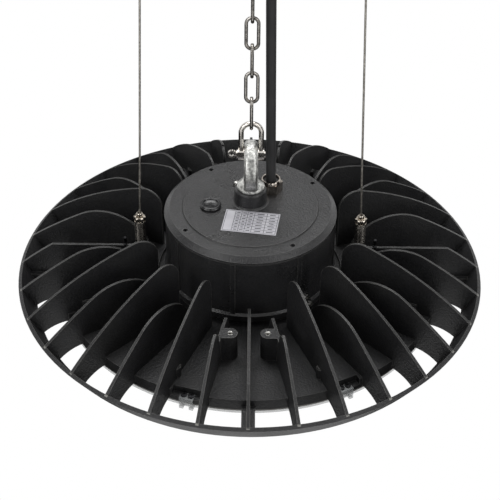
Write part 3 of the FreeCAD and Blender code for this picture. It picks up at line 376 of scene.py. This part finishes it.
def routeLine(name, low, high, diameter, resolution):
    # a straight route needs three points for its spline
    low, high = Vector(low), Vector(high)
    curve = bpy.data.curves.new(name, "CURVE")
    curve.dimensions = "3D"
    spline = curve.splines.new("NURBS")
    spline.points.add(2)
    for point, place in zip(spline.points, (low, low.lerp(high, 0.5), high)):
        point.co = (*place, 1)
    spline.order_u = 3
    spline.use_endpoint_u = True
    curve.resolution_u = resolution
    curve.bevel_depth = diameter / 2
    curve.bevel_resolution = 7
    curve.use_fill_caps = True
    piece = bpy.data.objects.new(name, curve)
    lampPieces.objects.link(piece)
    return piece


def routePoints(piece):
    mesh = bpy.data.meshes.new_from_object(piece)
    points = [vertex.co.copy() for vertex in mesh.vertices]
    bpy.data.meshes.remove(mesh)
    return points

# Wire ropes: six strands laid round a core, each a lobe of one twisted skin.
ropeSettings = {"diameter": 0.0018, "strands": 6, "lay": 0.011, "step": 0.0011, "around": 30,
                "lobe": 0.13, "low": (0.094, -0.0065, -0.2401), "high": (0.08437, -0.0065, -0.0185)}
for side, word in ((-1, "left"), (1, "right")):
    mirror = Vector((side, 1, 1))
    low = Vector(ropeSettings["low"]) * mirror
    high = Vector(ropeSettings["high"]) * mirror
    count = round((high - low).length / ropeSettings["step"])
    guide = routeLine("guide", low, high, 0, max(4, count // 2))
    points = routePoints(guide)
    bpy.data.objects.remove(guide)

    def strands(form, points=points):
        p = ropeSettings
        travelled, rings = 0.0, []
        along = (points[-1] - points[0]).normalized()
        across = along.orthogonal().normalized()
        other = along.cross(across)
        for i, point in enumerate(points):
            travelled += (point - points[i - 1]).length if i else 0
            turn = 2 * math.pi * travelled / p["lay"]
            ring = []
            for j in range(p["around"]):
                angle = 2 * math.pi * j / p["around"]
                lobe = abs(math.cos(p["strands"] / 2 * (angle - turn)))
                reach = p["diameter"] / 2 * (1 - p["lobe"] * (1 - lobe))
                ring.append(form.verts.new(point + across * reach * math.cos(angle)
                                           + other * reach * math.sin(angle)))
            rings.append(ring)
        for ring, following in zip(rings, rings[1:]):
            for j in range(len(ring)):
                k = (j + 1) % len(ring)
                form.faces.new((ring[j], ring[k], following[k], following[j]))
        form.faces.new(rings[0])
        form.faces.new(rings[-1])

    rope = meshPiece("safetyRope_" + word, strands, metals["ropeWire"])
    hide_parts("wire_rope_" + word)
    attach(rope, "root")

# The sheathed power cable, drawn tight between the gland and the ceiling.
cableSettings = {"diameter": 0.0084, "low": (0.0174, 0.0165, -0.2312),
                 "high": (0.01358, 0.0165, -0.0016), "resolution": 24}
cable = routeLine("powerCable", cableSettings["low"], cableSettings["high"],
                  cableSettings["diameter"], cableSettings["resolution"])
cable.data.materials.append(plastics["sheathRubber"])
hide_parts("power_cable")
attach(cable, "root")
print("ropes and cable laid")

# Lobed sleeves of the rope grippers: six deep flutes that fingers can turn, over a plain foot.
sleeveSettings = {"flutes": 6, "depth": 0.2, "around": 128, "hole": 0.00272, "soft": 0.0006,
                  "corner": 0.3, "bands": (0.13, 0.2, 0.5, 0.8, 0.87), "plainFoot": 0.1,
                  "flutedFrom": 0.9}
for word in ("left", "right"):
    name = "gripper_sleeve_" + word
    middle, low, high = middleOf(name)

    def sleeve(form, middle=middle, low=low, high=high):
        p = sleeveSettings
        radius, height = (high[0] - low[0]) / 2, high[2] - low[2]
        hole, soft, corner = p["hole"], p["soft"], p["soft"] * p["corner"]
        profile = [(hole, 0), (radius - soft, 0), (radius - corner, corner), (radius, soft)]
        profile += [(radius, share * height) for share in p["bands"]]
        profile += [(radius, height - soft), (radius - corner, height - corner),
                    (radius - soft, height), (hole, height)]
        lathe(form, profile, p["around"], (middle[0], middle[1], low[2]))
        for vertex in form.verts:
            axis = Vector((middle[0], middle[1], vertex.co.z))
            offset, up = vertex.co - axis, vertex.co.z - low[2]
            if offset.length > radius * p["flutedFrom"] and up >= height * p["plainFoot"]:
                wave = 0.5 - 0.5 * math.cos(p["flutes"] * math.atan2(offset.y, offset.x))
                vertex.co = axis + offset * (1 - p["depth"] * wave)

    piece = meshPiece("lobedSleeve_" + word, sleeve, metals["brightNickel"])
    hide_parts(name)
    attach(piece, "root")
print("lobed sleeves made")

# The forged eye bolt: the die leaves a soft fillet where the ring runs into its collar.
eyeSettings = {"voxel": 0.00045, "rounds": 34, "share": 0.5}
forged = bpy.data.objects.new("forgedEyeBolt", nodes["eye_bolt"].data.copy())
lampPieces.objects.link(forged)
blend = forged.modifiers.new("oneSkin", "REMESH")
blend.mode = "VOXEL"
blend.voxel_size = eyeSettings["voxel"]
blend.use_smooth_shade = True
soften = forged.modifiers.new("fillet", "SMOOTH")
soften.factor = eyeSettings["share"]
soften.iterations = eyeSettings["rounds"]
bpy.context.view_layer.update()
skin = bpy.data.meshes.new_from_object(
    forged.evaluated_get(bpy.context.evaluated_depsgraph_get()))
forged.modifiers.clear()
forged.data = skin
skin.materials.clear()
skin.materials.append(metals["galvanisedSteel"])
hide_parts("eye_bolt")
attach(forged, "root")
print("eye bolt forged")

# The blanking plug: a flange with a moulded step, a rim, and a dish that holds a highlight.
plugSettings = {"step": 0.0007, "stepHeight": 0.0011, "rim": 0.0012, "dish": 0.0017,
                "crown": 0.8, "soft": 0.0004, "core": 0.0002, "around": 72}
plugMiddle, plugLow, plugHigh = middleOf("blanking_plug")
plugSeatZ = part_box("plug_seal")[1][2]


def dishedPlug(form):
    p = plugSettings
    radius, top, soft = (plugHigh[0] - plugLow[0]) / 2, plugHigh[2] - plugSeatZ, p["soft"]
    stepped = radius - p["step"]
    inner = stepped - p["rim"]
    profile = [(p["core"], 0), (radius, 0), (radius, p["stepHeight"] - soft),
               (radius - soft, p["stepHeight"]), (stepped, p["stepHeight"] + soft),
               (stepped, top - soft), (stepped - soft, top), (inner, top),
               (inner - soft, top - soft), (inner - soft, top - p["dish"] + soft),
               (inner - 3 * soft, top - p["dish"]), (p["core"], top - p["dish"] * p["crown"])]
    lathe(form, profile, p["around"], (plugMiddle[0], plugMiddle[1], plugSeatZ))


plug = ridingPiece("dishedPlug", dishedPlug, plastics["mouldedNylon"])
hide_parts("blanking_plug")

# Threaded inserts in the four lugs, bare and bright against the coat.
insertSettings = {"wall": 0.0006, "lip": 0.0003, "depth": 0.006, "proud": 0.0002,
                  "soft": 0.00015, "around": 40}
lugs = next(mount for mount in frame["record"]["mounts"] if mount["name"] == "accessory_bosses")
lugBore = lugs["dims"]["hole_r_mm"] / 1000
lampY, lugTopZ = lugs["pos_m"][1:]      # the light's middle, and the top of lugs and low blades
for sideX in (-1, 1):
    for sideY in (-1, 1):
        place = (sideX * lugs["dims"]["spacing_x_mm"] / 2000,
                 lampY + sideY * lugs["dims"]["spacing_y_mm"] / 2000, lugTopZ)

        def insert(form, place=place):
            p = insertSettings
            inner, outer = lugBore - p["wall"], lugBore + p["lip"]
            profile = [(inner, -p["depth"]), (lugBore, -p["depth"]), (lugBore, 0), (outer, 0),
                       (outer, p["proud"] - p["soft"]), (outer - p["soft"], p["proud"]),
                       (inner + p["wall"], p["proud"]), (inner, -p["soft"])]
            lathe(form, profile, p["around"], place)

        corner = ("front" if sideY < 0 else "back") + ("Left" if sideX < 0 else "Right")
        ridingPiece("threadInsert_" + corner, insert, metals["brightSteel"])

# A small dark post stands on the low blade at each side, just outside the rope grippers.
postSettings = {"reach": 0.1075, "foot": 0.0017, "shaft": 0.0011, "head": 0.0016,
                "height": 0.0078, "footHeight": 0.0008, "headHeight": 0.0018, "soft": 0.0003,
                "core": 0.0001, "around": 32}
for side, word in ((-1, "left"), (1, "right")):
    def post(form, side=side):
        p = postSettings
        neck, soft = p["height"] - p["headHeight"], p["soft"]
        profile = [(p["core"], 0), (p["foot"], 0), (p["foot"], p["footHeight"]),
                   (p["shaft"], p["footHeight"]), (p["shaft"], neck), (p["head"], neck),
                   (p["head"], p["height"] - soft), (p["head"] - soft, p["height"]),
                   (p["core"], p["height"])]
        lathe(form, profile, p["around"], (side * p["reach"], lampY, lugTopZ))

    ridingPiece("bladePost_" + word, post, metals["blackOxide"])

# The cast fillet where the eye boss runs into the cover.
filletSettings = {"bossRadius": 0.0143, "radius": 0.0014, "steps": 6, "sunk": 0.0003, "around": 96}
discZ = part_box("rating_label")[0][2]      # the label lies on the cover's raised disc


def bossFillet(form):
    p = filletSettings
    foot, inside = p["bossRadius"] + p["radius"], p["bossRadius"] - p["sunk"]
    turns = [math.pi / 2 * i / p["steps"] for i in range(p["steps"] + 1)]
    arc = [(p["bossRadius"] + p["radius"] * (1 - math.sin(turn)),
            p["radius"] * (1 - math.cos(turn))) for turn in turns]
    lathe(form, arc + [(inside, p["radius"]), (inside, -p["sunk"]), (foot, -p["sunk"])],
          p["around"], (0, 0, discZ))


ridingPiece("bossFillet", bossFillet, coverCoat)

# A thin dark ring lies on the cover at the foot of the raised disc. It is painted shadow:
# the shade that falls in the fine groove there.
grooveShadowSettings = {"radius": 0.0574, "width": 0.0005, "height": 0.00004, "step": 0.001,
                  "around": 192}


def grooveShadowRing(form):
    p = grooveShadowSettings
    inner, outer = p["radius"] - p["height"], p["radius"] + p["width"]
    lathe(form, [(inner, 0), (outer, 0), (outer, p["height"]), (inner, p["height"])],
          p["around"], (0, lampY, discZ - p["step"]))


ridingPiece("grooveShadowRing", grooveShadowRing, plastics["blackSilicone"])

# The label holds an empty ruled table: thin ink rules and short plain bars, with no lettering.
tableSettings = {"inset": 0.0010, "rule": 0.00042, "height": 0.00004, "rows": 7,
                 "columns": (0, 0.17, 0.29, 0.41, 0.54, 0.78, 1), "bar": 0.0011, "barShare": 0.6,
                 "barVaries": 0.2, "acrossWave": 7000, "downWave": 3, "flat": 1e-6, "bend": 0.02}
outline = bmesh.new()
outline.from_mesh(nodes["rating_label"].data)
bmesh.ops.dissolve_limit(outline, angle_limit=tableSettings["bend"], verts=outline.verts,
                         edges=outline.edges)
labelZ = max(vertex.co.z for vertex in outline.verts)
topEdges = [edge for edge in outline.edges
            if all(labelZ - vertex.co.z < tableSettings["flat"] for vertex in edge.verts)]
longest = max(topEdges, key=lambda edge: edge.calc_length())
ends = sorted((vertex.co.copy() for vertex in longest.verts), key=lambda place: place.x)
corners = [vertex.co.copy() for edge in topEdges for vertex in edge.verts]
outline.free()
labelAlong = (ends[1] - ends[0]).normalized()
labelUp = Vector((-labelAlong.y, labelAlong.x, 0))
alongs, ups = [c.dot(labelAlong) for c in corners], [c.dot(labelUp) for c in corners]


def labelTable(form):
    p = tableSettings
    left, right = min(alongs) + p["inset"], max(alongs) - p["inset"]
    bottom, top = min(ups) + p["inset"], max(ups) - p["inset"]
    lift = Vector((0, 0, labelZ + p["height"]))

    def strip(x0, x1, y0, y1):
        form.faces.new([form.verts.new(labelAlong * x + labelUp * y + lift)
                        for x, y in ((x0, y0), (x1, y0), (x1, y1), (x0, y1))])

    rowHeight = (top - bottom) / p["rows"]
    columns = [left + (right - left) * share for share in p["columns"]]
    for row in range(p["rows"] + 1):
        level = bottom + rowHeight * row
        start = left if row in (0, p["rows"]) else columns[1]
        strip(start, right, level - p["rule"] / 2, level + p["rule"] / 2)
    for column in columns:
        strip(column - p["rule"] / 2, column + p["rule"] / 2, bottom, top)
    for row in range(p["rows"]):
        level = bottom + rowHeight * (row + 0.5)
        for start, end in zip(columns[1:], columns[2:]):
            wave = math.cos(p["acrossWave"] * start + p["downWave"] * row)
            share = p["barShare"] * (1 - p["barVaries"] + p["barVaries"] * wave)
            centre, half = (start + end) / 2, (end - start) * share / 2
            strip(centre - half, centre + half, level - p["bar"] / 2, level + p["bar"] / 2)


ridingPiece("labelTable", labelTable, plastics["labelInk"])
print("plug, inserts, posts, fillet, groove and label table made")

# Small rounds that catch light on the edges of the pieces that come from the frame, in metres.
edgeRounds = {"heatsink": 0.0003, "heatsink_blades": 0.00045, "driver_housing": 0.0004,
              "housing_cover": 0.0002, "gland_body": 0.0004, "gland_nut": 0.0004,
              "shackle_bow": 0.0005, "shackle_pin": 0.0004, "lens_clip": 0.00022,
              "screws": 0.00018, "lock_screw": 0.00035, "gripper_body": 0.0003,
              "gripper_nipple": 0.0003, "rope_anchor": 0.0005, "ceiling_rose": 0.0006,
              "rating_label": 0.0001, "driver_unit": 0.0008, "lens": 0.0004}
roundSettings = {"segments": 2, "fromDegrees": 38}
longestFirst = sorted(edgeRounds, key=len, reverse=True)
for name, node in nodes.items():
    if node.hide_render:
        continue
    for face in node.data.polygons:
        face.use_smooth = True
    size = next((edgeRounds[key] for key in longestFirst if key in name), None)
    if size:
        bevel = node.modifiers.new("edgeRound", "BEVEL")
        bevel.width = size
        bevel.segments = roundSettings["segments"]
        bevel.limit_method = "ANGLE"
        bevel.angle_limit = math.radians(roundSettings["fromDegrees"])
        bevel.use_clamp_overlap = True
        bevel.harden_normals = True
print("edges rounded")

studioSettings = {"floorZ": -2.6, "floorSize": 24, "floorColor": "#f7f7f6", "worldLight": 0.42,
                  "cameraPlace": (0.0, -0.8851, 0.4181), "pitchDown": 38.12, "roll": 0.638,
                  "lens": 92.9, "sensor": 36, "aim": (0, -0.0065, -0.24)}


def seenDirectly(tree):
    # 1 for rays from the camera, in a reflection or through the lens, which see plain white
    ray = addNode(tree, "ShaderNodeLightPath")
    direct = addNode(tree, "ShaderNodeMath",
                     {0: ray.outputs["Is Camera Ray"], 1: ray.outputs["Is Glossy Ray"]},
                     operation="MAXIMUM")
    through = addNode(tree, "ShaderNodeMath",
                      {0: direct.outputs[0], 1: ray.outputs["Is Transmission Ray"]},
                      operation="MAXIMUM")
    return through.outputs[0]


# A painted white floor lies far below the light.
def whiteGround():
    material, tree, shader = newMaterial("paintedStudioFloor")
    shader.inputs["Base Color"].default_value = linearColor(studioSettings["floorColor"])
    shader.inputs["Roughness"].default_value = 0.9
    white = addNode(tree, "ShaderNodeEmission", in_Color=(1, 1, 1, 1), in_Strength=1.0)
    mix = addNode(tree, "ShaderNodeMixShader", {
        0: seenDirectly(tree), 1: shader.outputs["BSDF"], 2: white.outputs["Emission"]})
    output = next(node for node in tree.nodes if node.type == "OUTPUT_MATERIAL")
    tree.links.new(mix.outputs[0], output.inputs["Surface"])
    return material


def floorMesh(form):
    half, deep = studioSettings["floorSize"] / 2, studioSettings["floorZ"]
    form.faces.new([form.verts.new((x, y, deep))
                    for x, y in ((-half, -half), (half, -half), (half, half), (-half, half))])


floor = meshPiece("studioFloor", floorMesh, whiteGround(), smooth=False, home=studio)

# Black flags round the light and a black cloth below it. Only reflections see them, and they give
# metal its dark bands. Spans are in degrees from the front.
flagSettings = {"distance": 1.5, "low": -0.9, "high": 2.6, "color": "#141414",
                "spans": ((-14, 14), (-104, -64), (64, 104), (156, 172), (188, 204)),
                "cloth": {"z": -0.75, "inner": 0.24, "outer": 1.45, "first": 42, "last": 318,
                          "steps": 24}}


def flagMesh(form):
    p, cloth = flagSettings, flagSettings["cloth"]

    def corner(degrees, distance, height):
        angle = math.radians(degrees - 90)
        return form.verts.new((distance * math.cos(angle), distance * math.sin(angle), height))

    for start, end in p["spans"]:
        form.faces.new([corner(degrees, p["distance"], height) for degrees, height in (
            (start, p["low"]), (end, p["low"]), (end, p["high"]), (start, p["high"]))])
    # the cloth is open towards the front
    pairs = []
    for i in range(cloth["steps"] + 1):
        degrees = cloth["first"] + (cloth["last"] - cloth["first"]) * i / cloth["steps"]
        pairs.append([corner(degrees, cloth[edge], cloth["z"]) for edge in ("inner", "outer")])
    for pair, following in zip(pairs, pairs[1:]):
        form.faces.new((pair[0], pair[1], following[1], following[0]))


def blackCloth():
    material, tree, shader = newMaterial("blackStudioCloth")
    shader.inputs["Base Color"].default_value = linearColor(flagSettings["color"])
    shader.inputs["Roughness"].default_value = 0.95
    shader.inputs["Specular IOR Level"].default_value = 0.0
    return material


flags = meshPiece("studioFlags", flagMesh, blackCloth(), smooth=False, home=studio)
flags.visible_camera = flags.visible_diffuse = flags.visible_shadow = False
flags.visible_transmission = False

world = bpy.data.worlds.new("studioWorld")
scene.world = world
world.use_nodes = True
tree = world.node_tree
tree.nodes.clear()
soft = addNode(tree, "ShaderNodeBackground", in_Color=(1, 1, 1, 1),
               in_Strength=studioSettings["worldLight"])
white = addNode(tree, "ShaderNodeBackground", in_Color=(1, 1, 1, 1), in_Strength=1.0)
mix = addNode(tree, "ShaderNodeMixShader",
              {0: seenDirectly(tree), 1: soft.outputs[0], 2: white.outputs[0]})
addNode(tree, "ShaderNodeOutputWorld", {"Surface": mix.outputs[0]})

lampSettings = {
    "top": {"place": (0.0, 0.62, 1.45), "size": (1.6, 1.0), "power": 26},
    "left": {"place": (-1.5, -0.9, 0.9), "size": (0.9, 1.3), "power": 15},
    "right": {"place": (1.6, -0.7, 0.8), "size": (0.9, 1.3), "power": 15},
    "front": {"place": (0.0, -1.9, 0.15), "size": (1.6, 0.7), "power": 6},
}
aim = Vector(studioSettings["aim"])
for name, setting in lampSettings.items():
    light = bpy.data.lights.new("softbox_" + name, "AREA")
    light.shape = "RECTANGLE"
    light.size, light.size_y = setting["size"]
    light.energy = setting["power"]
    lamp = bpy.data.objects.new("softbox_" + name, light)
    lamp.location = setting["place"]
    lamp.rotation_euler = (aim - lamp.location).to_track_quat("-Z", "Y").to_euler()
    studio.objects.link(lamp)

cameraData = bpy.data.cameras.new("camera")
cameraData.lens = studioSettings["lens"]
cameraData.sensor_width = studioSettings["sensor"]
camera = bpy.data.objects.new("camera", cameraData)
camera.matrix_world = (Matrix.Translation(studioSettings["cameraPlace"])
                       @ Matrix.Rotation(math.radians(90 - studioSettings["pitchDown"]), 4, "X")
                       @ Matrix.Rotation(math.radians(studioSettings["roll"]), 4, "Z"))
studio.objects.link(camera)
scene.camera = camera
scene.view_settings.view_transform = "Standard"
print("studio and camera set")
